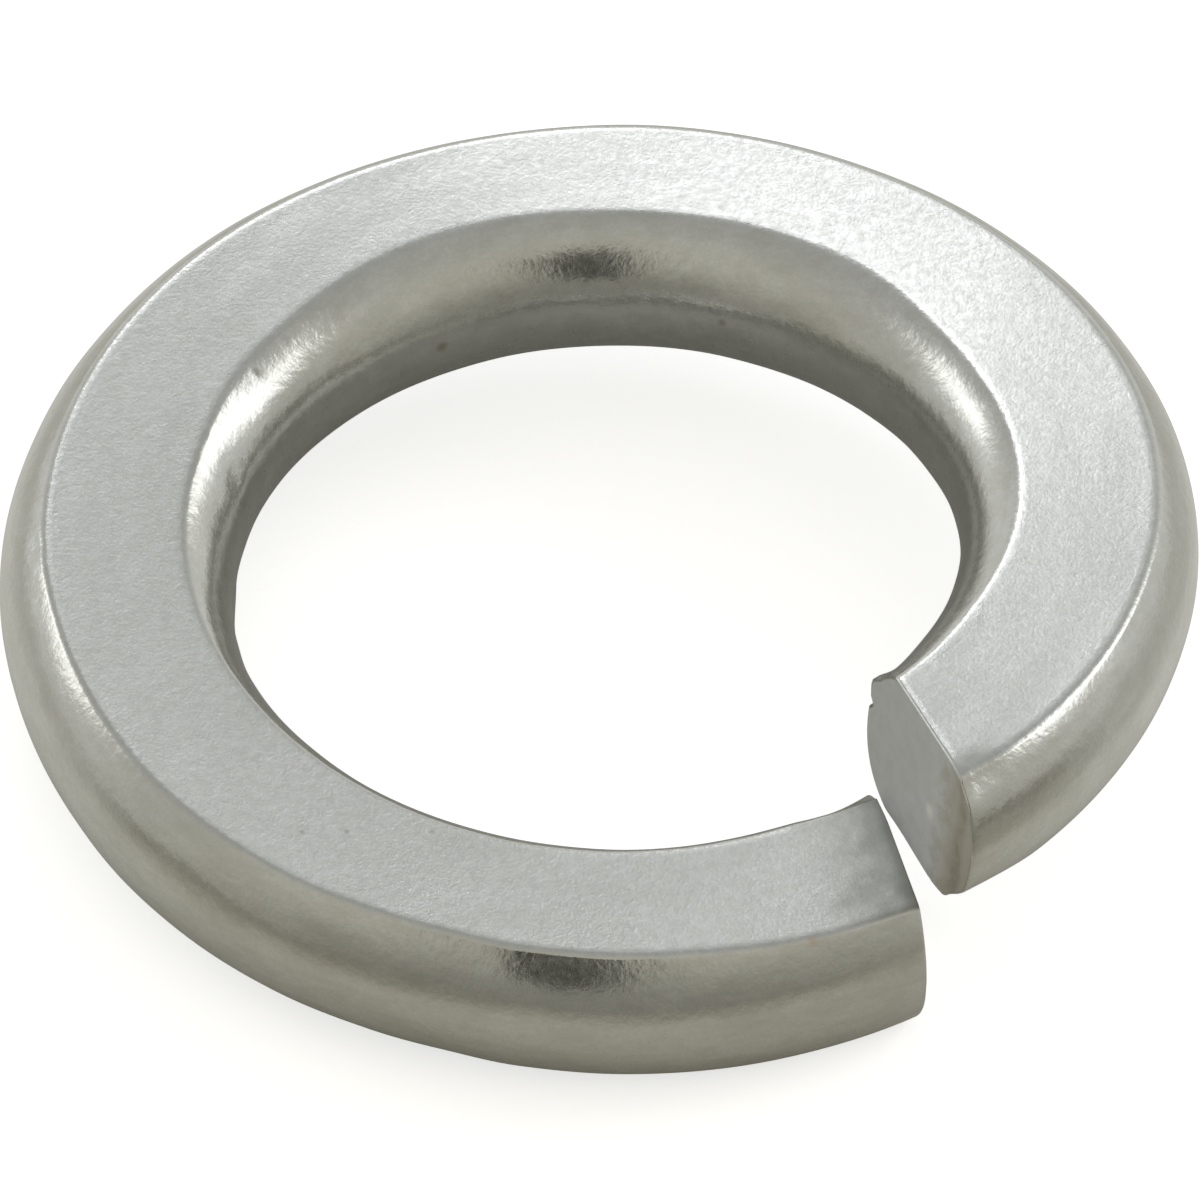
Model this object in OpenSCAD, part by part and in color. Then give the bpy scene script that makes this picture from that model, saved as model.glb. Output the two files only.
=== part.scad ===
// Spring lock washer for a 10 mm bolt: one turn of flat-sided drawn wire, wound on edge round +Z,
// cut through once, with its ends sprung apart along the axis. Seen from above the turn climbs
// clockwise from its low end to its raised end, so that both ends dig in as a nut is undone.
// Millimetres. The origin is on the bore's axis, at the lowest point of the washer.

/* [Overall] */
// Diameter of the bore, at the narrowest part of the rounded inner side
bore_d = 10.9; // [9:0.1:14]
// Climb along the axis that a full turn would make
pitch = 2.08; // [1.6:0.02:2.4]

/* [Wire section] */
// Width of the wire, from the bore to its outer side
wire_width = 3.6; // [3:0.05:4.4]
// Thickness of the wire between its two flats
thickness = 2.5; // [2:0.05:3]
// Swell of the rounded side that faces the bore, past the edges of the flats
inner_swell = 0.91; // [0.3:0.01:1]
// Swell of the rounded outer side, past the edges of the flats
outer_swell = 0.63; // [0.3:0.01:1]
// Depth of the narrow land where the bore meets the top of the inner swell
bore_land_depth = 0.02; // [0.005:0.005:0.05]

/* [Cut ends] */
// Direction of the low end at the middle of the wire, anticlockwise from +X
low_end_angle = -51.4; // [-90:0.1:0]
// Open angle between the two ends at the middle of the wire
gap_angle = 3.3; // [3:0.1:12]
// Turn of the low end's cut away from square across the wire
low_cut_skew = 21.4; // [14:0.1:22]
// Turn of the raised end's cut away from square across the wire
raised_cut_skew = 17.3; // [16:0.1:26]
// Lean of the raised end's cut, which leaves its lower edge the longer
raised_cut_lean = 8; // [0:0.5:10]
// Width of the broken edge round each cut face
edge_break = 0.1; // [0.02:0.01:0.2]

/* [Smoothness] */
// Steps round the turn
turn_steps = 90; // [48:2:120]
// Steps over each rounded side
side_steps = 12; // [6:1:14]
// Steps over each broken edge
break_steps = 3; // [1:1:4]

/* [Hidden] */
steel_colour = "silver";
full_turn = 360;
quarter_turn = 90;
half_thickness = thickness / 2;
bore_r = bore_d / 2;
outer_r = bore_r + wire_width;
// The sweep reaches a little inside the bore, which then cuts the land
swept_inner_r = bore_r - bore_land_depth;
inner_side_r = side_r(inner_swell);
outer_side_r = side_r(outer_swell);
middle_r = (swept_inner_r + outer_r) / 2;
turn_angle = full_turn - gap_angle;
// How far the bore cutter runs past the washer at either end, and its smoothness
cutter_margin = 1;
cutter_fn = 96;

// Radius of a rounded side that swells by this much past the edges of the two flats
function side_r(swell) = (half_thickness ^ 2 + swell ^ 2) / (2 * swell);

// Angle of a rounded side, from its middle to where it meets a flat. A section that is taken in
// by an inset, for the broken edges, has smaller arcs about the same centres.
function side_half_angle(radius, inset) = asin((half_thickness - inset) / (radius - inset));

// Points of the section as [radius, height], anticlockwise from the foot of the outer side
function outer_side(inset) = [
    for (i = [0:side_steps])
        let (half = side_half_angle(outer_side_r, inset), a = -half + 2 * half * i / side_steps)
        [outer_r - outer_side_r + (outer_side_r - inset) * cos(a), (outer_side_r - inset) * sin(a)]
];
function inner_side(inset) = [
    for (i = [0:side_steps])
        let (half = side_half_angle(inner_side_r, inset), a = half - 2 * half * i / side_steps)
        [swept_inner_r + inner_side_r - (inner_side_r - inset) * cos(a), (inner_side_r - inset) * sin(a)]
];
function section(inset) = concat(outer_side(inset), inner_side(inset));

// Each cut is flat and skewed, so its place round the turn changes with the radius of a point and,
// where the cut leans, with its height. It changes by this much from the middle of the wire.
function cut_lag(point, skew, lean) =
    skew - asin((middle_r * sin(skew) + point[1] * tan(lean)) / point[0]);

// Place of a point of the section on either cut, clockwise from the low end. The low end's cut
// stands upright.
function low_cut(point) = cut_lag(point, low_cut_skew, 0);
function raised_cut(point) = turn_angle + cut_lag(point, raised_cut_skew, raised_cut_lean);

// Where the full section starts and stops, a step back from each cut
function as_angle(length, point) = length / point[0] * 180 / PI;
function turn_start(point, back = edge_break) = low_cut(point) + as_angle(back, point);
function turn_stop(point, back = edge_break) = raised_cut(point) - as_angle(back, point);

// The lowest point is at the start of the full section, on the inner edge of its lower flat
lowest_place = turn_start(inner_side(0)[side_steps]);
function climb(place) = pitch * (place - lowest_place) / full_turn;

// A point of the section, carried clockwise round the axis to its place on the turn
function on_turn(point, place) =
    let (a = low_end_angle - place)
    [point[0] * cos(a), point[0] * sin(a), half_thickness + point[1] + climb(place)];

// How far in from the cut a step of the broken edge lies, and how far it is taken in
function break_back(step) = edge_break * (1 - cos(quarter_turn * step / break_steps));
function break_inset(step) = edge_break * (1 - sin(quarter_turn * step / break_steps));

// Rings of points: the low end's broken edge, the turn, and the raised end's broken edge
low_rings = [
    for (step = [0:break_steps - 1])
        [for (p = section(break_inset(step))) on_turn(p, turn_start(p, break_back(step)))]
];
turn_rings = [
    for (i = [0:turn_steps]) [
        for (p = section(0))
            let (start = turn_start(p), stop = turn_stop(p))
            on_turn(p, start + (stop - start) * i / turn_steps)
    ]
];
raised_rings = [
    for (step = [break_steps - 1:-1:0])
        [for (p = section(break_inset(step))) on_turn(p, turn_stop(p, break_back(step)))]
];

// One closed skin over rings that all have the same number of points
module skin(rings) {
    count = len(rings[0]);
    last_start = (len(rings) - 1) * count;
    points = [for (ring = rings) each ring];
    low_cap = [[for (j = [0:count - 1]) j]];
    raised_cap = [[for (j = [count - 1:-1:0]) last_start + j]];
    walls = [
        for (i = [0:len(rings) - 2], j = [0:count - 1])
            let (here = i * count, next = here + count, k = (j + 1) % count)
            each [[here + j, next + j, next + k], [here + j, next + k, here + k]]
    ];
    polyhedron(points = points, faces = concat(low_cap, walls, raised_cap), convexity = 4);
}

module bore() {
    translate([0, 0, -cutter_margin])
        cylinder(r = bore_r, h = thickness + pitch + 2 * cutter_margin, $fn = cutter_fn);
}

module lock_washer() {
    color(steel_colour)
        difference() {
            skin(concat(low_rings, turn_rings, raised_rings));
            bore();
        }
}

lock_washer();
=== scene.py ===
"""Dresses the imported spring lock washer: the wound wire with its worn edges, its plating and a studio.

Shapes are worked out in millimetres and go into their meshes in metres, in the CAD model's own frame.
"""

from __future__ import annotations

import logging
import math
from dataclasses import dataclass, field
from enum import Enum

import bmesh
import bpy
from mathutils import Matrix, Vector, noise


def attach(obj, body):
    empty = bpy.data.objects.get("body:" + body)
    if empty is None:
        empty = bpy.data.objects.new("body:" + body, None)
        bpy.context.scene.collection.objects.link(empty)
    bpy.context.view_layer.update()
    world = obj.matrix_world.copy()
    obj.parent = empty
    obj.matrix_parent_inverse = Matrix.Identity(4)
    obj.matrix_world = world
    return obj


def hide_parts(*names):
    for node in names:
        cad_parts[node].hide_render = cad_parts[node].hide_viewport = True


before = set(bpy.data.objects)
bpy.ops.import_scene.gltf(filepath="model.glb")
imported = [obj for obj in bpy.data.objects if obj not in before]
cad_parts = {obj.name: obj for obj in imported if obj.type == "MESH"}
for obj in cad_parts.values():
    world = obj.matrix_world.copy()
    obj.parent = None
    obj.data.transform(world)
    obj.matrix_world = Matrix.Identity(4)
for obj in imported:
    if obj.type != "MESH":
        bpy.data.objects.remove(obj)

METRES_PER_MM = 0.001
FULL_TURN = 360.0
CAD_NODE = "lock_washer"
PLAIN_COLOURS = "Standard"

Colour = tuple[float, float, float, float]
Pair = tuple[float, float]

log = logging.getLogger("lock_washer")

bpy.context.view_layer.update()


class End(Enum):
    """The two ends of the wire."""

    LOW = "low"
    RAISED = "raised"


def smooth_step(value: float) -> float:
    """Eases a share between 0 and 1, and holds it there outside.

    Args:
        value: The share, which may lie outside 0 to 1.

    Returns:
        The eased share.
    """
    t = min(max(value, 0.0), 1.0)
    return t * t * (3.0 - 2.0 * t)


@dataclass(frozen=True)
class Course:
    """A size that changes smoothly round the turn, given at a few places in degrees from the low end."""

    stations: tuple[Pair, ...]

    def at(self, place: float) -> float:
        """The size at one place.

        Args:
            place: Place round the turn in degrees from the low end.

        Returns:
            The size there, eased between its two nearest stations.
        """
        if place <= self.stations[0][0]:
            return self.stations[0][1]
        for (before, first), (after, second) in zip(self.stations, self.stations[1:]):
            if place <= after:
                return first + (second - first) * smooth_step((place - before) / (after - before))
        return self.stations[-1][1]


@dataclass(frozen=True)
class WireSection:
    """The drawn wire's section in millimetres: two flats joined by two rounded sides."""

    inner_r: float = 5.432
    outer_r: float = 9.05
    thickness: float = 2.5
    inner_swell: float = 0.91
    outer_swell: float = 0.63
    corner_reach: float = 0.066
    corner_segments: int = 3
    side_steps: int = 40
    flat_steps: int = 14

    @property
    def half(self) -> float:
        """Half of the thickness."""
        return self.thickness / 2.0

    @property
    def middle_r(self) -> float:
        """Radius of the middle of the wire."""
        return (self.inner_r + self.outer_r) / 2.0

    @property
    def inner_edge(self) -> float:
        """Radius at which the flats end towards the bore."""
        return self.inner_r + self.inner_swell

    @property
    def outer_edge(self) -> float:
        """Radius at which the flats end towards the outer side."""
        return self.outer_r - self.outer_swell

    def side_r(self, swell: float) -> float:
        """Radius of the arc of a rounded side.

        Args:
            swell: How far the side stands past the edges of the flats.

        Returns:
            The radius.
        """
        return (self.half**2 + swell**2) / (2.0 * swell)

    def side_sweep(self, swell: float) -> float:
        """Angle of the arc of a rounded side, in radians.

        Args:
            swell: How far the side stands past the edges of the flats.

        Returns:
            The whole angle, from flat to flat.
        """
        return 2.0 * math.asin(self.half / self.side_r(swell))

    def carry_on(
        self, bm: bmesh.types.BMesh, last: bmesh.types.BMVert, centre_r: float, sweep: float, run: float
    ) -> bmesh.types.BMVert:
        """Carries the outline on from its last point, over a rounded side or along a flat.

        Args:
            bm: The mesh to draw in.
            last: The last point so far.
            centre_r: Radius at which the centre of the side's arc lies.
            sweep: Angle of the arc in radians, or 0 along a flat.
            run: Length of the flat, outwards, or 0 over a side.

        Returns:
            The new last point.
        """
        steps = self.flat_steps if run else self.side_steps
        made = bmesh.ops.spin(
            bm, geom=[last], cent=(0, centre_r, 0), axis=(1, 0, 0), dvec=(0, run / steps, 0), angle=sweep,
            steps=steps, use_merge=False, use_normal_flip=False, use_duplicate=False,
        )  # fmt: skip
        return next(g for g in made["geom_last"] if isinstance(g, bmesh.types.BMVert))

    def draw(self, bm: bmesh.types.BMesh) -> bmesh.types.BMFace:
        """Draws the section as one face across the X axis, with radius along Y and height along Z.

        Args:
            bm: The mesh to draw in, which is empty.

        Returns:
            The face.
        """
        outer_centre = self.outer_r - self.side_r(self.outer_swell)
        inner_centre = self.inner_r + self.side_r(self.inner_swell)
        flat = self.outer_edge - self.inner_edge
        foot = bmesh.ops.create_vert(bm, co=(0, self.outer_edge, -self.half))["vert"][0]
        shoulder = self.carry_on(bm, foot, outer_centre, self.side_sweep(self.outer_swell), 0.0)
        brow = self.carry_on(bm, shoulder, 0.0, 0.0, -flat)
        heel = self.carry_on(bm, brow, inner_centre, self.side_sweep(self.inner_swell), 0.0)
        close = self.carry_on(bm, heel, 0.0, 0.0, flat)
        bmesh.ops.weld_verts(bm, targetmap={close: foot})
        bmesh.ops.edgeloop_fill(bm, edges=bm.edges[:])
        bmesh.ops.bevel(
            bm, geom=[foot, shoulder, brow, heel], affect="VERTICES", offset=self.corner_reach,
            offset_type="OFFSET", segments=self.corner_segments, profile=0.5, material=-1, clamp_overlap=True,
        )  # fmt: skip
        return next(iter(bm.faces))


@dataclass(frozen=True)
class EndCut:
    """The flat cut across one end of the wire. Angles in degrees, sizes in millimetres."""

    end: End
    place: float
    skew: float
    lean: float

    def place_at(self, radius: float, height: float, middle_r: float) -> float:
        """Place of the cut round the turn, at one point of the section.

        Args:
            radius: The point's radius.
            height: The point's height over the middle of the wire.
            middle_r: Radius of the middle of the wire.

        Returns:
            The place in degrees from the low end.
        """
        skew, lean = math.radians(self.skew), math.radians(self.lean)
        across = (middle_r * math.sin(skew) + height * math.tan(lean)) / radius
        return self.place + self.skew - math.degrees(math.asin(across))


@dataclass(frozen=True)
class Dent:
    """A small hollow, or with a negative depth a small rise, at a point of the straight wire.

    Lengths in millimetres. It is pushed in along the line from the point to the middle of the wire.
    """

    at: tuple[float, float, float]
    reach: tuple[float, float, float]
    depth: float

    def push(self, point: Vector, middle_r: float) -> Vector:
        """How far the dent moves a point of the straight wire.

        Args:
            point: The point: length along the wire, radius, height.
            middle_r: Radius of the middle of the wire.

        Returns:
            The move.
        """
        off = Vector((q - c) / r for q, c, r in zip(point, self.at, self.reach))
        share = 1.0 - smooth_step(off.length)
        inward = Vector((0.0, middle_r - point.y, -point.z)).normalized()
        return inward * (self.depth * share)


@dataclass(frozen=True)
class Waves:
    """The slight unevenness that drawing and winding leave on the wire. Lengths in millimetres."""

    side_height: float = 0.010
    flat_height: float = 0.003
    along: float = 1.5
    across: float = 0.55
    seed: float = 7.3

    def push(self, point: Vector, flat: float, outward: Vector) -> Vector:
        """How far the waves move a point of the straight wire.

        Args:
            point: The point: length along the wire, radius, height.
            flat: 1 on the flats and 0 on the sides.
            outward: Direction out of the wire there.

        Returns:
            The move.
        """
        where = Vector((point.x / self.along + self.seed, point.y / self.across, point.z / self.across))
        height = self.side_height + (self.flat_height - self.side_height) * flat
        return outward * (height * noise.noise(where))


@dataclass
class WoundWire:
    """The washer itself: the wire, its cut ends and the marks on it. Millimetres and degrees.

    Points within `cut_face_depth` of an end of the wire belong to its cut face.
    """

    section: WireSection = field(default_factory=WireSection)
    waves: Waves = field(default_factory=Waves)
    pitch: float = 2.08
    low_end_angle: float = -51.4
    cuts: tuple[EndCut, ...] = (
        EndCut(End.LOW, place=-0.25, skew=24.0, lean=0.0),
        EndCut(End.RAISED, place=356.4, skew=17.3, lean=6.2),
    )
    climb_margin: float = 0.1
    rim_break: float = 0.055
    rim_segments: int = 3
    cut_face_depth: float = 0.00275
    turn_steps: int = 400
    flat_fade: float = 0.12
    edge_fade: float = 0.18
    cap_rings: tuple[float, ...] = (0.98, 0.90, 0.78, 0.62, 0.42, 0.2)
    droop: float = 0.05
    droop_length: float = 1.8
    inner_shoulder: Course = Course(
        (
            (0.0, 0.74), (14.0, 0.76), (30.0, 0.78), (88.0, 0.78), (115.0, 0.81), (142.0, 0.88),
            (165.0, 1.0), (195.0, 1.17), (220.0, 1.07), (250.0, 1.1), (276.0, 0.89), (308.0, 0.9),
            (336.0, 0.77),
        )  # fmt: skip
    )
    outer_shoulder: Course = Course(((0.0, 0.48), (10.0, 0.51), (32.0, 0.63)))
    shoulder_power: float = 2.0
    inner_wear: Course = Course(
        (
            (0.0, 0.22), (5.0, 0.20), (9.0, 0.16), (14.0, 0.13), (30.0, 0.12), (55.0, 0.12),
            (70.0, 0.15), (88.0, 0.155), (103.0, 0.18), (115.0, 0.12), (129.0, 0.03), (143.0, 0.0),
            (280.0, 0.0), (295.0, 0.04), (309.0, 0.045), (322.0, 0.03), (336.0, 0.02), (349.0, 0.08),
        )  # fmt: skip
    )
    outer_wear: Course = Course(
        (
            (0.0, 0.0), (35.0, 0.01), (46.0, 0.04), (54.0, 0.09), (61.0, 0.08), (72.0, 0.03), (90.0, 0.02),
            (101.0, 0.045), (115.0, 0.045), (128.0, 0.01), (180.0, 0.01), (197.0, 0.04), (212.0, 0.04),
            (225.0, 0.01), (249.0, 0.03), (280.0, 0.0), (295.0, -0.03), (309.0, -0.03), (325.0, 0.0),
        )  # fmt: skip
    )
    twist: Course = Course(
        (
            (60.0, 0.2), (100.0, 0.7), (135.0, 1.1), (165.0, 1.2), (190.0, 0.9), (212.0, 0.0),
            (262.0, 0.0), (285.0, -0.5), (312.0, -0.5), (340.0, 0.0),
        )  # fmt: skip
    )
    dents: tuple[Dent, ...] = (
        Dent(at=(20.9, 6.15, 1.17), reach=(0.12, 0.12, 0.12), depth=0.02),
        Dent(at=(45.0, 5.43, 0.21), reach=(0.45, 0.34, 0.12), depth=0.135),
        Dent(at=(45.0, 5.52, 0.56), reach=(0.60, 0.42, 0.34), depth=-0.12),
        Dent(at=(19.0, 5.75, 0.80), reach=(0.50, 0.30, 0.25), depth=0.02),
        Dent(at=(45.0, 8.75, -1.25), reach=(1.50, 0.85, 0.80), depth=0.14),
        Dent(at=(45.0, 6.70, -1.20), reach=(1.20, 1.20, 0.85), depth=0.05),
        Dent(at=(0.2, 6.10, 1.15), reach=(2.0, 0.85, 0.75), depth=0.12),
        Dent(at=(0.0, 6.35, 1.25), reach=(0.45, 0.60, 0.50), depth=0.04),
        Dent(at=(15.6, 8.55, 1.15), reach=(0.30, 0.20, 0.20), depth=0.02),
        Dent(at=(45.0, 8.55, 1.25), reach=(0.90, 0.50, 0.50), depth=0.07),
    )

    def cut(self, end: End) -> EndCut:
        """The cut at one end."""
        return next(cut for cut in self.cuts if cut.end is end)

    @property
    def length(self) -> float:
        """Length of the wire along its middle."""
        return math.radians(self.cut(End.RAISED).place - self.cut(End.LOW).place) * self.section.middle_r

    @property
    def lowest_place(self) -> float:
        """Place of the lowest point: the inner edge of the lower flat, where the full section starts."""
        radius = self.section.inner_edge
        start = self.cut(End.LOW).place_at(radius, -self.section.half, self.section.middle_r)
        return start + math.degrees(self.climb_margin / radius)

    def place_of(self, point: Vector) -> float:
        """Place round the turn of a point of the straight wire.

        Args:
            point: The point: length along the wire, radius, height.

        Returns:
            The place in degrees from the low end.
        """
        share = point.x / self.length
        start = self.cut(End.LOW).place_at(point.y, point.z, self.section.middle_r)
        stop = self.cut(End.RAISED).place_at(point.y, point.z, self.section.middle_r)
        return start + (stop - start) * share

    def wound(self, point: Vector, place: float) -> Vector:
        """Carries a point of the straight wire to its place on the turn.

        Args:
            point: The point: length along the wire, radius, height.
            place: Its place round the turn.

        Returns:
            The point of the washer.
        """
        angle = math.radians(self.low_end_angle - place)
        climb = self.pitch * (place - self.lowest_place) / FULL_TURN
        height = self.section.half + point.z + climb
        return Vector((point.y * math.cos(angle), point.y * math.sin(angle), height))

    def end_faces(self, bm: bmesh.types.BMesh) -> list[bmesh.types.BMFace]:
        """The two end faces of the wire, which have by far the most corners."""
        return sorted(bm.faces, key=lambda face: len(face.verts))[-2:]

    def draw_wire(self, bm: bmesh.types.BMesh) -> None:
        """Draws the straight wire along the X axis, with its two end rims broken.

        Args:
            bm: The mesh to draw in, which is empty.
        """
        face = self.section.draw(bm)
        made = bmesh.ops.extrude_face_region(bm, geom=[face])["geom"]
        far = [g for g in made if isinstance(g, bmesh.types.BMVert)]
        bmesh.ops.translate(bm, verts=far, vec=(self.length, 0, 0))
        bmesh.ops.recalc_face_normals(bm, faces=bm.faces[:])
        rims = [edge for cap in self.end_faces(bm) for edge in cap.edges]
        bmesh.ops.bevel(
            bm, geom=rims, affect="EDGES", offset=self.rim_break, offset_type="OFFSET",
            segments=self.rim_segments, profile=0.5, material=-1, clamp_overlap=True,
        )  # fmt: skip
        for cap in self.end_faces(bm):
            self.ring_cap(bm, cap)
        long_edges = [e for e in bm.edges if abs(e.verts[0].co.x - e.verts[1].co.x) > self.length / 2.0]
        bmesh.ops.subdivide_edges(bm, edges=long_edges, cuts=self.turn_steps - 1, use_grid_fill=True)

    def ring_cap(self, bm: bmesh.types.BMesh, cap: bmesh.types.BMFace) -> None:
        """Divides one end face into rings round its middle, so that it can take dents.

        Args:
            bm: The mesh.
            cap: The end face.
        """
        middle = cap.calc_center_median()
        to_middle = Matrix.Translation(-middle)
        size = 1.0
        for share in self.cap_rings:
            cap = bmesh.ops.extrude_discrete_faces(bm, faces=[cap])["faces"][0]
            step = share / size
            bmesh.ops.scale(bm, vec=(1.0, step, step), space=to_middle, verts=cap.verts[:])
            size = share
        bmesh.ops.poke(bm, faces=[cap])

    def flatness(self, point: Vector) -> Pair:
        """Tells the flats from the sides.

        Args:
            point: The point: length along the wire, radius, height.

        Returns:
            Share of flat, and nearness to the edge between a flat and a side.
        """
        inside = min(point.y - self.section.inner_edge, self.section.outer_edge - point.y)
        return smooth_step(inside / self.flat_fade + 0.5), 1.0 - smooth_step(abs(inside) / self.edge_fade)

    def worn(self, point: Vector, place: float) -> Vector:
        """Reshapes the two upper shoulders and wears either side, by more in some stretches than in others.

        Args:
            point: The point: length along the wire, radius, height.
            place: Its place round the turn.

        Returns:
            The moved point.
        """
        section, moved = self.section, point.copy()
        upper = smooth_step(1.0 + point.z / section.half)
        wear = self.inner_wear.at(place) * upper
        widening = (self.inner_shoulder.at(place) - section.inner_swell) if point.z > 0.0 else 0.0
        narrowing = (section.outer_swell - self.outer_shoulder.at(place)) if point.z > 0.0 else 0.0
        if point.y < section.inner_edge:
            share = (point.y - section.inner_r) / section.inner_swell
            moved.y += wear * (1.0 - share) + widening * share**self.shoulder_power
        elif point.y < section.outer_edge:
            across = (point.y - section.inner_edge) / (section.outer_edge - section.inner_edge)
            moved.y += widening * (1.0 - across) + narrowing * across
            moved.y -= self.outer_wear.at(place) * smooth_step(2.0 * across - 1.0)
        else:
            share = (section.outer_r - point.y) / section.outer_swell
            moved.y += narrowing * share - self.outer_wear.at(place)
        return moved

    def twisted(self, point: Vector, place: float) -> Vector:
        """Turns the section about its middle, by which the flats lean a little to the bore or away from it.

        Args:
            point: The point: length along the wire, radius, height.
            place: Its place round the turn.

        Returns:
            The moved point.
        """
        middle = Vector((point.x, self.section.middle_r, 0.0))
        return middle + Matrix.Rotation(math.radians(self.twist.at(place)), 3, "X") @ (point - middle)

    def drooped(self, point: Vector) -> Vector:
        """Lets the upper flat droop a little towards the low end, where the shears pulled it down.

        Args:
            point: The point: length along the wire, radius, height.

        Returns:
            The moved point.
        """
        tip = 1.0 - min(point.x / self.droop_length, 1.0)
        return point - Vector((0.0, 0.0, self.droop * tip * tip * smooth_step(point.z / self.section.half)))

    def build(self) -> bpy.types.Object:
        """Builds the washer.

        Returns:
            Its object, in metres, at the origin.
        """
        bm = bmesh.new()
        wire_layer = bm.verts.layers.float_vector.new("wire")
        flat_layer = bm.verts.layers.float.new("flat")
        edge_layer = bm.verts.layers.float.new("edge")
        cut_layer = bm.verts.layers.float.new("cut")
        self.draw_wire(bm)
        bm.normal_update()
        for vert in bm.verts:
            point, outward = vert.co.copy(), vert.normal.copy()
            end_gap = min(point.x, self.length - point.x)
            vert[wire_layer] = point
            vert[cut_layer] = 1.0 if end_gap < self.cut_face_depth else 0.0
            vert[flat_layer], vert[edge_layer] = self.flatness(point)
            place = self.place_of(point)
            moved = self.drooped(self.twisted(self.worn(point, place), place))
            for dent in self.dents:
                moved += dent.push(point, self.section.middle_r)
            outward.x = 0.0
            moved += self.waves.push(point, vert[flat_layer], outward)
            vert.co = self.wound(moved, self.place_of(moved))
        bm.normal_update()
        bmesh.ops.recalc_face_normals(bm, faces=bm.faces[:])
        log.info("volume %.1f cubic mm", bm.calc_volume(signed=True))
        bmesh.ops.scale(bm, vec=(METRES_PER_MM,) * 3, verts=bm.verts[:])
        mesh = bpy.data.meshes.new("washer")
        bm.to_mesh(mesh)
        bm.free()
        mesh.shade_smooth()
        washer = bpy.data.objects.new("washer", mesh)
        bpy.context.scene.collection.objects.link(washer)
        return washer


class NodeDesk:
    """A short way to lay out and join the nodes of one material or world."""

    def __init__(self, tree: bpy.types.NodeTree) -> None:
        """Clears a node tree to work on.

        Args:
            tree: The tree.
        """
        self.tree = tree
        tree.nodes.clear()

    def add(self, kind: str, **settings: object) -> bpy.types.Node:
        """Adds a node.

        Args:
            kind: Blender's name of the node's type.
            settings: Its properties by name.

        Returns:
            The node.
        """
        node = self.tree.nodes.new(kind)
        for name, value in settings.items():
            setattr(node, name, value)
        return node

    def feed(self, socket: bpy.types.NodeSocket, value: object) -> None:
        """Joins an output to an input, or sets the input to a plain value.

        Args:
            socket: The input.
            value: An output socket, a number or a sequence of numbers.
        """
        if isinstance(value, bpy.types.NodeSocket):
            self.tree.links.new(value, socket)
        else:
            socket.default_value = value

    def math(self, operation: str, *values: object, clamp: bool = False) -> bpy.types.NodeSocket:
        """Works out a number.

        Args:
            operation: The operation's name in Blender.
            values: Its inputs.
            clamp: Whether the result is held between 0 and 1.

        Returns:
            The result.
        """
        node = self.add("ShaderNodeMath", operation=operation, use_clamp=clamp)
        for socket, value in zip(node.inputs, values):
            self.feed(socket, value)
        return node.outputs[0]

    def blend(self, share: object, first: object, second: object) -> bpy.types.NodeSocket:
        """Mixes two colours.

        Args:
            share: Share of the second.
            first: The first colour.
            second: The second colour.

        Returns:
            The mixed colour.
        """
        node = self.add("ShaderNodeMix", data_type="RGBA")
        self.feed(node.inputs[0], share)
        self.feed(node.inputs[6], first)
        self.feed(node.inputs[7], second)
        return node.outputs[2]

    def between(self, share: object, low: float, high: float) -> bpy.types.NodeSocket:
        """Maps a share from 0 to 1 onto a range.

        Args:
            share: The share.
            low: Result at 0.
            high: Result at 1.

        Returns:
            The mapped number.
        """
        return self.math("MULTIPLY_ADD", share, high - low, low)

    def span(self, value: object, low: float, high: float) -> bpy.types.NodeSocket:
        """Share of a value between two limits, eased and held between 0 and 1.

        Args:
            value: The value.
            low: The value that gives 0.
            high: The value that gives 1.

        Returns:
            The share.
        """
        node = self.add("ShaderNodeMapRange", interpolation_type="SMOOTHSTEP", clamp=True)
        self.feed(node.inputs[0], value)
        node.inputs[1].default_value = low
        node.inputs[2].default_value = high
        return node.outputs[0]

    def apart(self, vector: object) -> tuple[bpy.types.NodeSocket, ...]:
        """The three parts of a vector.

        Args:
            vector: The vector.

        Returns:
            Its parts along X, Y and Z.
        """
        parts = self.add("ShaderNodeSeparateXYZ")
        self.feed(parts.inputs[0], vector)
        return tuple(parts.outputs)

    def noise(self, vector: object, scale: float, detail: float, roughness: float) -> bpy.types.NodeSocket:
        """A noise pattern.

        Args:
            vector: Coordinates.
            scale: Features per unit.
            detail: Octaves.
            roughness: Weight of the finer octaves.

        Returns:
            Its value.
        """
        node = self.add("ShaderNodeTexNoise", noise_dimensions="3D")
        self.feed(node.inputs["Vector"], vector)
        node.inputs["Scale"].default_value = scale
        node.inputs["Detail"].default_value = detail
        node.inputs["Roughness"].default_value = roughness
        return node.outputs[0]

    def scaled(self, vector: object, factors: tuple[float, float, float]) -> bpy.types.NodeSocket:
        """Scales coordinates.

        Args:
            vector: The coordinates.
            factors: Factor along each axis.

        Returns:
            The scaled coordinates.
        """
        node = self.add("ShaderNodeVectorMath", operation="MULTIPLY")
        self.feed(node.inputs[0], vector)
        node.inputs[1].default_value = factors
        return node.outputs[0]

    def bump(self, height: object, distance: float, normal: object | None = None) -> bpy.types.NodeSocket:
        """Turns a height pattern into a bumped normal.

        Args:
            height: The height, from 0 to 1.
            distance: Height of 1 in metres.
            normal: A normal that is already bumped, if any.

        Returns:
            The normal.
        """
        node = self.add("ShaderNodeBump")
        node.inputs["Strength"].default_value = 1.0
        node.inputs["Distance"].default_value = distance
        self.feed(node.inputs["Height"], height)
        if normal is not None:
            self.feed(node.inputs["Normal"], normal)
        return node.outputs[0]


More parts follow.
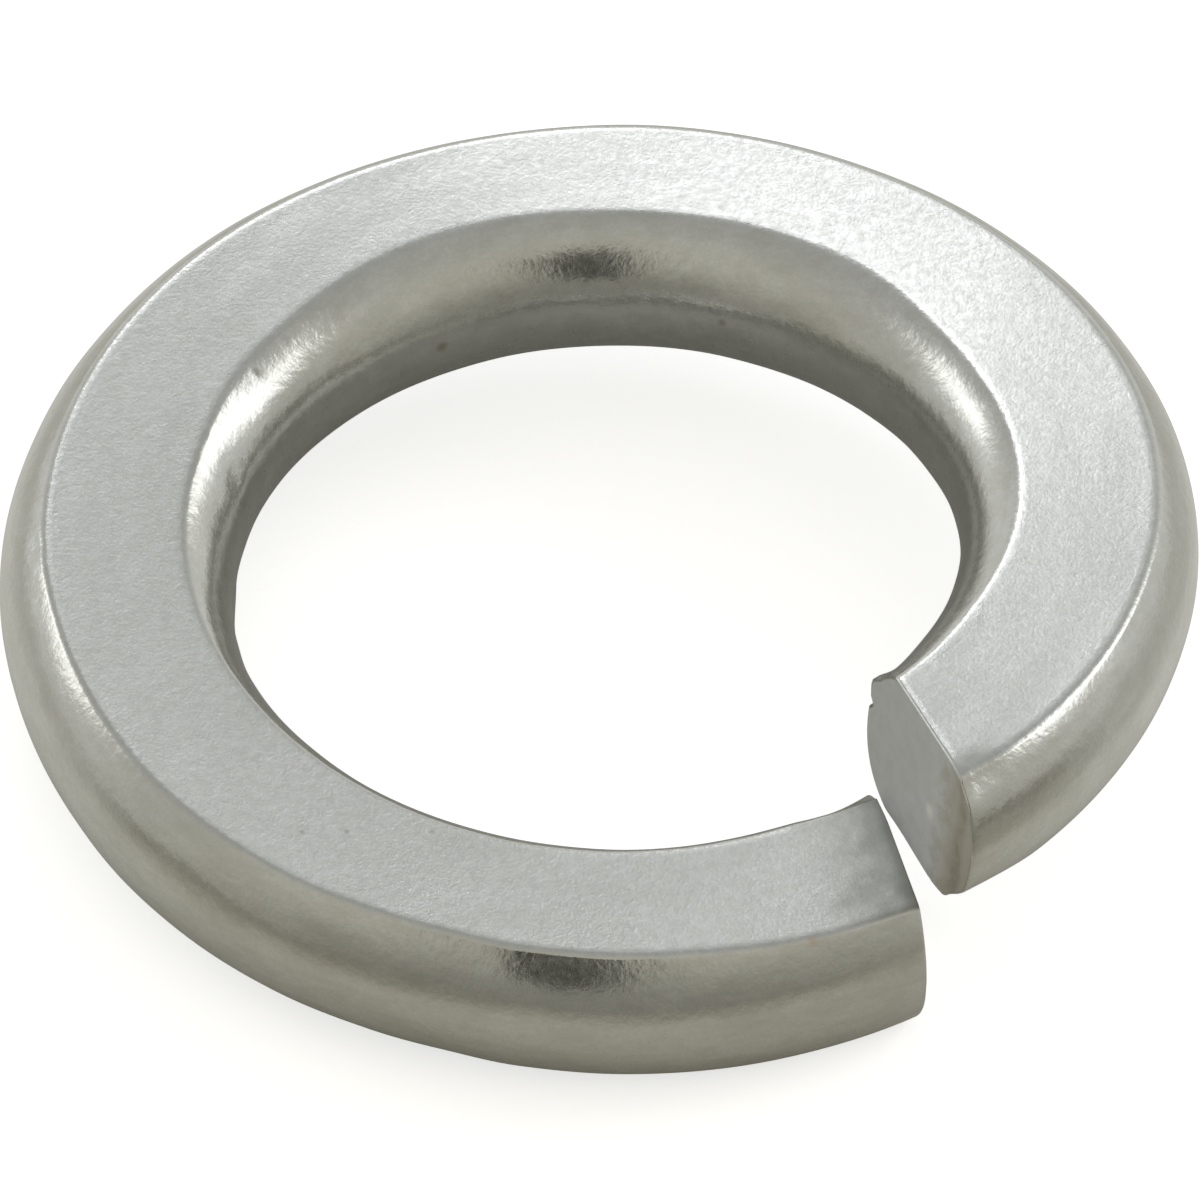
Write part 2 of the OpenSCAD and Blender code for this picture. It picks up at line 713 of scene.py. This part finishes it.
@dataclass(frozen=True)
class Pattern:
    """A noise pattern on the metal, with its size in features per millimetre.

    A stretch under 1 draws it out along the wire. It is spread between its low and high limits.
    """

    scale: float
    detail: float
    roughness: float = 0.5
    stretch: float = 1.0
    low: float = 0.0
    high: float = 1.0

    def raw(self, desk: NodeDesk, where: bpy.types.NodeSocket) -> bpy.types.NodeSocket:
        """The pattern as it comes.

        Args:
            desk: The desk to lay the nodes on.
            where: Coordinates in millimetres.

        Returns:
            Its value, about 0.5 on the whole.
        """
        if self.stretch < 1.0:
            where = desk.scaled(where, (self.stretch, 1.0, 1.0))
        return desk.noise(where, self.scale, self.detail, self.roughness)

    def spread(self, desk: NodeDesk, where: bpy.types.NodeSocket) -> bpy.types.NodeSocket:
        """The pattern with its low limit at 0 and its high limit at 1.

        Args:
            desk: The desk to lay the nodes on.
            where: Coordinates in millimetres.

        Returns:
            Its share.
        """
        return desk.span(self.raw(desk, where), self.low, self.high)


@dataclass(frozen=True)
class Speck:
    """A small spot of colour at a point of the washer in millimetres: the specks on the plating, the painted
    shade in a pit and the painted glint on a cut face, which is a painted highlight.
    """

    at: tuple[float, float, float]
    reach: float
    colour: Colour
    core: float = 0.2

    def nearness(self, desk: NodeDesk, place: bpy.types.NodeSocket) -> bpy.types.NodeSocket:
        """Nearness to the speck.

        Args:
            desk: The desk to lay the nodes on.
            place: Point of the washer in millimetres.

        Returns:
            1 in the speck's middle and 0 outside it.
        """
        gap = desk.add("ShaderNodeVectorMath", operation="DISTANCE")
        desk.feed(gap.inputs[0], place)
        gap.inputs[1].default_value = self.at
        return desk.math("SUBTRACT", 1.0, desk.span(gap.outputs["Value"], self.reach * self.core, self.reach))


@dataclass(frozen=True)
class SteelSkin:
    """What the plating's nodes read from the washer's mesh."""

    place: bpy.types.NodeSocket
    wire: bpy.types.NodeSocket
    flat: bpy.types.NodeSocket
    edge: bpy.types.NodeSocket
    cut: bpy.types.NodeSocket

    @classmethod
    def read(cls, desk: NodeDesk) -> SteelSkin:
        """Lays the nodes that read the mesh.

        Args:
            desk: The desk to lay the nodes on.

        Returns:
            The point of the washer and of the straight wire, both in millimetres, and the shares of
            flat, of edge and of cut face.
        """
        place = desk.scaled(desk.add("ShaderNodeTexCoord").outputs["Object"], (1.0 / METRES_PER_MM,) * 3)
        wire = desk.add("ShaderNodeAttribute", attribute_name="wire").outputs["Vector"]
        flat = desk.add("ShaderNodeAttribute", attribute_name="flat").outputs["Fac"]
        edge = desk.add("ShaderNodeAttribute", attribute_name="edge").outputs["Fac"]
        cut = desk.add("ShaderNodeAttribute", attribute_name="cut").outputs["Fac"]
        return cls(place, wire, flat, edge, cut)


@dataclass(frozen=True)
class PlatedSteel:
    """Satin zinc plating: frosted flats, glossier rounded sides with an orange-peel skin, sheared ends.

    A pair of shares gives a pattern's strength on the sides and on the flats. Radii are in millimetres
    and heights of the skin in metres.
    """

    flat_colour: Colour = (0.676, 0.688, 0.678, 1.0)
    side_colour: Colour = (0.73, 0.73, 0.71, 1.0)
    stain_colour: Colour = (0.50, 0.475, 0.42, 1.0)
    dull_colour: Colour = (0.53, 0.55, 0.52, 1.0)
    worn_colour: Colour = (0.39, 0.40, 0.38, 1.0)
    cut_colour: Colour = (0.835, 0.85, 0.87, 1.0)
    lip_colour: Colour = (0.56, 0.52, 0.44, 1.0)
    seam_colour: Colour = (0.36, 0.32, 0.25, 1.0)

    stain: Pattern = Pattern(1.5, 5.0, 0.62, stretch=0.30, low=0.44, high=0.70)
    stain_shares: Pair = (0.32, 0.04)
    mottle: Pattern = Pattern(3.6, 4.0, 0.65, stretch=0.55, low=0.38, high=0.66)
    mottle_shares: Pair = (0.30, 0.08)
    drawn_lines: Pattern = Pattern(9.0, 2.0, stretch=0.06, low=0.30, high=0.70)
    line_shares: Pair = (0.15, 0.0)
    frost: Pattern = Pattern(7.0, 3.0, 0.65, low=0.30, high=0.70)
    frost_shares: Pair = (0.20, 0.60)
    fine_grain: Pattern = Pattern(20.0, 1.0, low=0.25, high=0.75)
    fine_share: float = 0.30
    cloud: Pattern = Pattern(0.9, 2.0, low=0.35, high=0.65)
    cloud_share: float = 0.12

    rub_edge: Pattern = Pattern(1.7, 3.0, 0.6)
    rub_wander: float = 2.2
    rub_length: Pair = (1.05, 2.5)
    rub_dulling: float = 0.12

    face_mottle: float = 0.16
    lip: Pair = (7.75, 8.55)
    lip_wander: float = 0.25
    lip_share: float = 0.85
    seam_inside: Pair = (8.35, 8.6)
    seam_outside: Pair = (8.65, 8.85)
    seam_shares: Pair = (0.25, 0.75)

    flat_roughness: float = 0.32
    side_roughness: float = 0.25
    cut_roughness: float = 0.45
    cut_metal: float = 0.45
    edge_burnish: float = 0.03
    crystal: Pattern = Pattern(8.0, 2.0, 0.6)
    crystal_roughness: Pair = (-0.07, 0.07)
    crystal_weight: float = 1.2
    grain: Pattern = Pattern(20.0, 1.0)
    frost_height: float = 1.7e-6
    peel: Pattern = Pattern(6.0, 2.0)
    peel_middle: float = 0.5
    peel_shares: Pair = (1.0, 0.15)
    peel_height: float = 6.5e-6

    # A painted highlight: a white spot, not metallic, on the raised end's cut face that stands in for a
    # glint.
    painted_glint: Speck = Speck((4.99, -5.77, 3.24), 0.19, (0.98, 0.98, 0.97, 1.0))
    specks_and_pit_shade: tuple[Speck, ...] = (
        # Painted shade: the first speck is a darker spot that stands in for the shade in the pit at the upper
        # flat's inner edge.
        Speck((-5.21, 3.34, 3.35), 0.11, (0.44, 0.43, 0.41, 1.0)),
        Speck((-2.42, 4.87, 2.45), 0.13, (0.47, 0.42, 0.34, 1.0)),
        Speck((-4.37, -6.11, 2.94), 0.06, (0.44, 0.44, 0.42, 1.0)),
        Speck((-3.70, -6.07, 2.92), 0.06, (0.42, 0.42, 0.40, 1.0)),
        Speck((-2.42, -5.99, 2.86), 0.06, (0.46, 0.46, 0.44, 1.0)),
        Speck((1.84, 5.13, 2.81), 0.10, (0.48, 0.46, 0.42, 1.0)),
        Speck((3.29, -7.85, 2.53), 0.13, (0.60, 0.50, 0.42, 1.0)),
        Speck((4.70, -6.70, 2.45), 0.28, (0.36, 0.37, 0.36, 1.0)),
        Speck((3.96, -4.60, 2.38), 0.34, (0.38, 0.39, 0.38, 1.0)),
    )

    def rubbed(self, desk: NodeDesk, skin: SteelSkin) -> bpy.types.NodeSocket:
        """Nearness to the low end, where the shears rubbed the plating.

        Args:
            desk: The desk to lay the nodes on.
            skin: What is read from the mesh.

        Returns:
            1 at the low end, falling to 0 along about a thickness of wire.
        """
        length = desk.apart(skin.wire)[0]
        ragged = desk.math("MULTIPLY_ADD", self.rub_edge.raw(desk, skin.wire), self.rub_wander, length)
        return desk.math("SUBTRACT", 1.0, desk.span(ragged, *self.rub_length))

    def face_colour(
        self, desk: NodeDesk, skin: SteelSkin, mottle: bpy.types.NodeSocket
    ) -> bpy.types.NodeSocket:  # fmt: skip
        """Works out the colour of the cut faces, with the brown lip along their outer side and its seam.

        Args:
            desk: The desk to lay the nodes on.
            skin: What is read from the mesh.
            mottle: The mottled pattern.

        Returns:
            The colour.
        """
        radius = desk.apart(skin.wire)[1]
        dulled = desk.math("MULTIPLY", mottle, self.face_mottle)
        colour = desk.blend(dulled, self.cut_colour, self.dull_colour)
        lip = desk.span(desk.math("MULTIPLY_ADD", mottle, self.lip_wander, radius), *self.lip)
        colour = desk.blend(desk.math("MULTIPLY", lip, self.lip_share), colour, self.lip_colour)
        inside, outside = desk.span(radius, *self.seam_inside), desk.span(radius, *self.seam_outside)
        seam = desk.math("SUBTRACT", inside, outside)
        seam = desk.math("MULTIPLY", seam, desk.between(mottle, *self.seam_shares))
        return desk.blend(seam, colour, self.seam_colour)

    def colour(self, desk: NodeDesk, skin: SteelSkin, rubbed: bpy.types.NodeSocket) -> bpy.types.NodeSocket:
        """Works out the colour: plating, drawn-in stains, the rubbed low end, cut faces, specks, the painted
        shade in a pit and the painted glint, a painted highlight.

        Args:
            desk: The desk to lay the nodes on.
            skin: What is read from the mesh.
            rubbed: 1 at the rubbed low end and 0 elsewhere.

        Returns:
            The colour.
        """
        mottle = self.mottle.spread(desk, skin.wire)
        layers = (
            (self.stain.spread(desk, skin.wire), self.stain_shares, self.stain_colour),
            (mottle, self.mottle_shares, self.stain_colour),
            (self.drawn_lines.spread(desk, skin.wire), self.line_shares, self.dull_colour),
            (self.frost.spread(desk, skin.place), self.frost_shares, self.dull_colour),
        )
        colour = desk.blend(skin.flat, self.side_colour, self.flat_colour)
        for pattern, shares, tint in layers:
            strength = desk.math("MULTIPLY", pattern, desk.between(skin.flat, *shares))
            colour = desk.blend(strength, colour, tint)
        for pattern, share in ((self.fine_grain, self.fine_share), (self.cloud, self.cloud_share)):
            hollow = desk.between(pattern.spread(desk, skin.place), share, 0.0)
            colour = desk.blend(hollow, colour, self.dull_colour)
        colour = desk.blend(desk.math("MULTIPLY", rubbed, skin.flat), colour, self.worn_colour)
        colour = desk.blend(skin.cut, colour, self.face_colour(desk, skin, mottle))
        for speck in (*self.specks_and_pit_shade, self.painted_glint):
            colour = desk.blend(speck.nearness(desk, skin.place), colour, speck.colour)
        return colour

    def roughness(
        self, desk: NodeDesk, skin: SteelSkin, crystal: bpy.types.NodeSocket, rubbed: bpy.types.NodeSocket
    ) -> bpy.types.NodeSocket:  # fmt: skip
        """Works out the roughness: frosted flats, burnished edges, dull cuts and a dulled low end.

        Args:
            desk: The desk to lay the nodes on.
            skin: What is read from the mesh.
            crystal: The pattern of the plating's crystals.
            rubbed: 1 at the rubbed low end and 0 elsewhere.

        Returns:
            The roughness.
        """
        rough = desk.between(skin.flat, self.side_roughness, self.flat_roughness)
        rough = desk.math("ADD", rough, desk.between(crystal, *self.crystal_roughness))
        cut_more = desk.math("MULTIPLY", skin.cut, self.cut_roughness - self.side_roughness)
        rough = desk.math("ADD", rough, cut_more)
        rough = desk.math("SUBTRACT", rough, desk.math("MULTIPLY", skin.edge, self.edge_burnish))
        return desk.math("ADD", rough, desk.math("MULTIPLY", rubbed, self.rub_dulling))

    def make(self) -> bpy.types.Material:
        """Makes the material.

        Returns:
            The material.
        """
        material = bpy.data.materials.new("plated_steel")
        material.use_nodes = True
        desk = NodeDesk(material.node_tree)
        skin = SteelSkin.read(desk)
        crystal = self.crystal.raw(desk, skin.place)
        rubbed = self.rubbed(desk, skin)

        peel = desk.math("SUBTRACT", self.peel.raw(desk, skin.place), self.peel_middle)
        peel = desk.math("MULTIPLY", peel, desk.between(skin.flat, *self.peel_shares))
        frost = desk.math("MULTIPLY_ADD", crystal, self.crystal_weight, self.grain.raw(desk, skin.place))
        normal = desk.bump(frost, self.frost_height, desk.bump(peel, self.peel_height))
        metal = desk.between(skin.cut, 1.0, self.cut_metal)
        # The painted glint is made not metallic, so that its painted white shows as a highlight.
        metal = desk.math("SUBTRACT", metal, self.painted_glint.nearness(desk, skin.place), clamp=True)

        shader = desk.add("ShaderNodeBsdfPrincipled")
        desk.feed(shader.inputs["Base Color"], self.colour(desk, skin, rubbed))
        desk.feed(shader.inputs["Roughness"], self.roughness(desk, skin, crystal, rubbed))
        desk.feed(shader.inputs["Normal"], normal)
        desk.feed(shader.inputs["Metallic"], metal)
        desk.feed(desk.add("ShaderNodeOutputMaterial").inputs["Surface"], shader.outputs[0])
        return material


@dataclass(frozen=True)
class StudioFloor:
    """The pale table, lit through from below so that it stays white to the camera.

    In the metal it shows darker in front of the washer, where the camera stands in its light. Lengths
    in metres: `clear` is where the glow starts past the bore, `ring` where its near part ends, `back`
    where the table's rear half starts, and `far` where the paper darkens.
    """

    half_width: float = 4.0
    front_paper: Colour = (0.54, 0.52, 0.45, 1.0)
    back_paper: Colour = (0.54, 0.54, 0.53, 1.0)
    far_front_paper: Colour = (0.34, 0.33, 0.30, 1.0)
    far_back_paper: Colour = (0.45, 0.44, 0.41, 1.0)
    seen_paper: Colour = (0.90, 0.90, 0.90, 1.0)
    seen_glow: float = 0.66
    seen_tint: Colour = (1.0, 1.0, 1.0, 1.0)
    bounce_tint: Colour = (1.0, 0.99, 0.93, 1.0)
    ring_glow: float = 0.13
    back_glow: float = 0.21
    clear: Pair = (0.0068, 0.0107)
    ring: Pair = (0.0135, 0.017)
    back: Pair = (-0.011, 0.001)
    far: Pair = (0.018, 0.04)

    def paper(self) -> bpy.types.Material:
        """Makes the table's material.

        Returns:
            The material.
        """
        material = bpy.data.materials.new("table_paper")
        material.use_nodes = True
        desk = NodeDesk(material.node_tree)
        seen = desk.add("ShaderNodeLightPath").outputs["Is Camera Ray"]
        place = desk.add("ShaderNodeTexCoord").outputs["Object"]
        length = desk.add("ShaderNodeVectorMath", operation="LENGTH")
        desk.feed(length.inputs[0], place)
        reach = length.outputs["Value"]
        behind = desk.span(desk.apart(place)[1], *self.back)

        near_paper = desk.blend(behind, self.front_paper, self.back_paper)
        far_paper = desk.blend(behind, self.far_front_paper, self.far_back_paper)
        bounce_paper = desk.blend(desk.span(reach, *self.far), near_paper, far_paper)
        ring = desk.math("SUBTRACT", 1.0, desk.span(reach, *self.ring))
        ring = desk.math("MULTIPLY", ring, self.ring_glow)
        bounce_glow = desk.math("MULTIPLY_ADD", behind, self.back_glow, ring)
        bounce_glow = desk.math("MULTIPLY", desk.span(reach, *self.clear), bounce_glow)
        more = desk.math("SUBTRACT", self.seen_glow, bounce_glow)

        shader = desk.add("ShaderNodeBsdfPrincipled")
        shader.inputs["Roughness"].default_value = 1.0
        shader.inputs["Specular IOR Level"].default_value = 0.0
        desk.feed(shader.inputs["Base Color"], desk.blend(seen, bounce_paper, self.seen_paper))
        desk.feed(shader.inputs["Emission Color"], desk.blend(seen, self.bounce_tint, self.seen_tint))
        desk.feed(shader.inputs["Emission Strength"], desk.math("MULTIPLY_ADD", seen, more, bounce_glow))
        desk.feed(desk.add("ShaderNodeOutputMaterial").inputs["Surface"], shader.outputs[0])
        return material

    def build(self) -> bpy.types.Object:
        """Builds the table top at the washer's lowest point.

        Returns:
            Its object.
        """
        bm = bmesh.new()
        bmesh.ops.create_grid(bm, x_segments=1, y_segments=1, size=self.half_width)
        mesh = bpy.data.meshes.new("table_top")
        bm.to_mesh(mesh)
        bm.free()
        mesh.materials.append(self.paper())
        table = bpy.data.objects.new("table_top", mesh)
        bpy.context.scene.collection.objects.link(table)
        return table


def direction(azimuth: float, elevation: float) -> Vector:
    """A unit vector from the washer.

    Args:
        azimuth: Degrees anticlockwise from +X.
        elevation: Degrees above the table.

    Returns:
        The direction.
    """
    a, e = math.radians(azimuth), math.radians(elevation)
    return Vector((math.cos(a) * math.cos(e), math.sin(a) * math.cos(e), math.sin(e)))


@dataclass(frozen=True)
class Softbox:
    """A rectangular light that faces the washer. Angles in degrees, lengths in metres."""

    name: str
    azimuth: float
    elevation: float
    distance: float
    width: float
    height: float
    glow: float
    tint: tuple[float, float, float] = (1.0, 1.0, 1.0)

    def build(self) -> bpy.types.Object:
        """Builds the light.

        Returns:
            Its object.
        """
        lamp = bpy.data.lights.new(self.name, "AREA")
        lamp.shape = "RECTANGLE"
        lamp.size, lamp.size_y = self.width, self.height
        lamp.energy = self.glow * math.pi * self.width * self.height
        lamp.color = self.tint
        light = bpy.data.objects.new(self.name, lamp)
        bpy.context.scene.collection.objects.link(light)
        towards = direction(self.azimuth, self.elevation)
        light.location = towards * self.distance
        light.rotation_mode = "QUATERNION"
        light.rotation_quaternion = towards.to_track_quat("Z", "Y")
        return light


@dataclass(frozen=True)
class Room:
    """The plain room round the table, with a glow for each direction.

    The walls are brighter at the back and a little brighter to either side. `behind` and `high` are the
    limits, as parts of a unit direction, between front and back and between wall and overhead.
    """

    front_overhead: float = 0.58
    back_overhead: float = 0.425
    front_wall: float = 0.26
    back_wall: float = 0.77
    side_gain: float = 0.08
    behind: Pair = (-0.5, 0.5)
    high: Pair = (0.15, 0.95)
    front_tint: Colour = (1.0, 0.97, 0.84, 1.0)
    back_tint: Colour = (1.0, 1.0, 0.96, 1.0)

    def build(self) -> None:
        """Sets the world's glow by direction."""
        world = bpy.data.worlds.new("room")
        bpy.context.scene.world = world
        world.use_nodes = True
        desk = NodeDesk(world.node_tree)
        right, back, up = desk.apart(desk.add("ShaderNodeTexCoord").outputs["Generated"])
        depth = desk.math("MULTIPLY_ADD", back, 0.5, 0.5, clamp=True)
        wall = desk.between(depth, self.front_wall, self.back_wall)
        aside = desk.math("MULTIPLY", right, right)
        wall = desk.math("MULTIPLY", wall, desk.math("MULTIPLY_ADD", aside, self.side_gain, 1.0))
        behind = desk.span(back, *self.behind)
        overhead = desk.between(behind, self.front_overhead, self.back_overhead)
        rise = desk.math("SUBTRACT", overhead, wall)
        glow = desk.math("MULTIPLY_ADD", desk.span(up, *self.high), rise, wall)
        background = desk.add("ShaderNodeBackground")
        desk.feed(background.inputs["Color"], desk.blend(behind, self.front_tint, self.back_tint))
        desk.feed(background.inputs["Strength"], glow)
        desk.feed(desk.add("ShaderNodeOutputWorld").inputs["Surface"], background.outputs[0])


@dataclass(frozen=True)
class BlackCard:
    """A black card that faces the washer, and that only the metal's reflections show."""

    name: str
    azimuth: float
    elevation: float
    distance: float
    width: float
    height: float
    black: Colour = (0.02, 0.02, 0.02, 1.0)
    corner_share: float = 0.45
    corner_segments: int = 12

    def build(self) -> bpy.types.Object:
        """Builds the card, with rounded corners.

        Returns:
            Its object.
        """
        bm = bmesh.new()
        towards = direction(self.azimuth, self.elevation)
        turn = towards.to_track_quat("Z", "Y").to_matrix().to_4x4()
        corner = min(self.width, self.height) * self.corner_share
        bmesh.ops.create_grid(bm, x_segments=1, y_segments=1, size=0.5)
        bmesh.ops.scale(bm, vec=(self.width, self.height, 1.0), verts=bm.verts[:])
        bmesh.ops.bevel(
            bm, geom=bm.verts[:], affect="VERTICES", offset=corner, offset_type="OFFSET",
            segments=self.corner_segments, profile=0.5, material=-1, clamp_overlap=True,
        )  # fmt: skip
        bmesh.ops.transform(bm, matrix=Matrix.Translation(towards * self.distance) @ turn, verts=bm.verts[:])
        mesh = bpy.data.meshes.new(self.name)
        bm.to_mesh(mesh)
        bm.free()
        material = bpy.data.materials.new(self.name)
        material.use_nodes = True
        desk = NodeDesk(material.node_tree)
        shader = desk.add("ShaderNodeBsdfDiffuse")
        shader.inputs["Color"].default_value = self.black
        desk.feed(desk.add("ShaderNodeOutputMaterial").inputs["Surface"], shader.outputs[0])
        mesh.materials.append(material)
        card = bpy.data.objects.new(self.name, mesh)
        card.visible_camera = card.visible_diffuse = card.visible_shadow = False
        bpy.context.scene.collection.objects.link(card)
        return card


@dataclass(frozen=True)
class ProductCamera:
    """The camera at the photograph's viewing angle. Angles in degrees, sizes in metres."""

    elevation: float = 44.63
    roll: float = 0.87
    distance: float = 0.543
    target: tuple[float, float, float] = (0.000044, -0.000414, 0.002304)
    lens: float = 1077.7
    sensor: float = 36.0
    clip: Pair = (0.05, 20.0)

    def build(self) -> bpy.types.Object:
        """Places the camera and makes it the scene's own.

        Returns:
            Its object.
        """
        elevation, roll = math.radians(self.elevation), math.radians(self.roll)
        forward = Vector((0, math.cos(elevation), -math.sin(elevation)))
        level_right = Vector((1, 0, 0))
        level_up = Vector((0, math.sin(elevation), math.cos(elevation)))
        right = level_right * math.cos(roll) + level_up * math.sin(roll)
        up = level_up * math.cos(roll) - level_right * math.sin(roll)
        data = bpy.data.cameras.new("product_camera")
        data.lens, data.sensor_width = self.lens, self.sensor
        data.clip_start, data.clip_end = self.clip
        camera = bpy.data.objects.new("product_camera", data)
        bpy.context.scene.collection.objects.link(camera)
        turn = Matrix((right, up, -forward)).transposed().to_4x4()
        camera.matrix_world = Matrix.Translation(Vector(self.target) - forward * self.distance) @ turn
        bpy.context.scene.camera = camera
        return camera


@dataclass
class Studio:
    """The table, the lights and the camera."""

    floor: StudioFloor = field(default_factory=StudioFloor)
    room: Room = field(default_factory=Room)
    camera: ProductCamera = field(default_factory=ProductCamera)
    lights: tuple[Softbox, ...] = (
        Softbox("left_softbox", 151.0, 25.5, distance=1.2, width=0.40, height=0.38, glow=1.42),
        Softbox("right_softbox", 25.0, 38.0, distance=1.2, width=0.74, height=0.49, glow=1.6),
        Softbox(
            "back_softbox", 97.0, 38.0, distance=1.2, width=0.18, height=0.18, glow=6.4,
            tint=(0.99, 0.985, 1.03),
        ),
    )  # fmt: skip
    cards: tuple[BlackCard, ...] = (
        BlackCard("camera_card", -92.8, 44.0, distance=0.57, width=0.18, height=0.46),
    )

    def build(self) -> None:
        """Builds the studio and sets plain colours for the picture."""
        self.room.build()
        log.info("stage %s", self.floor.build().name)
        for card in self.cards:
            log.info("stage %s", card.build().name)
        for light in self.lights:
            log.info("light %s", light.build().name)
        log.info("camera %s", self.camera.build().name)
        bpy.context.scene.view_settings.view_transform = PLAIN_COLOURS


def main() -> None:
    """Builds the washer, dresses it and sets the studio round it."""
    logging.basicConfig(level=logging.INFO, format="%(name)s: %(message)s")
    washer = WoundWire().build()
    washer.data.materials.append(PlatedSteel().make())
    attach(washer, "root")
    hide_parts(CAD_NODE)
    log.info("piece %s with %d faces", washer.name, len(washer.data.polygons))
    Studio().build()


if __name__ == "__main__":
    main()
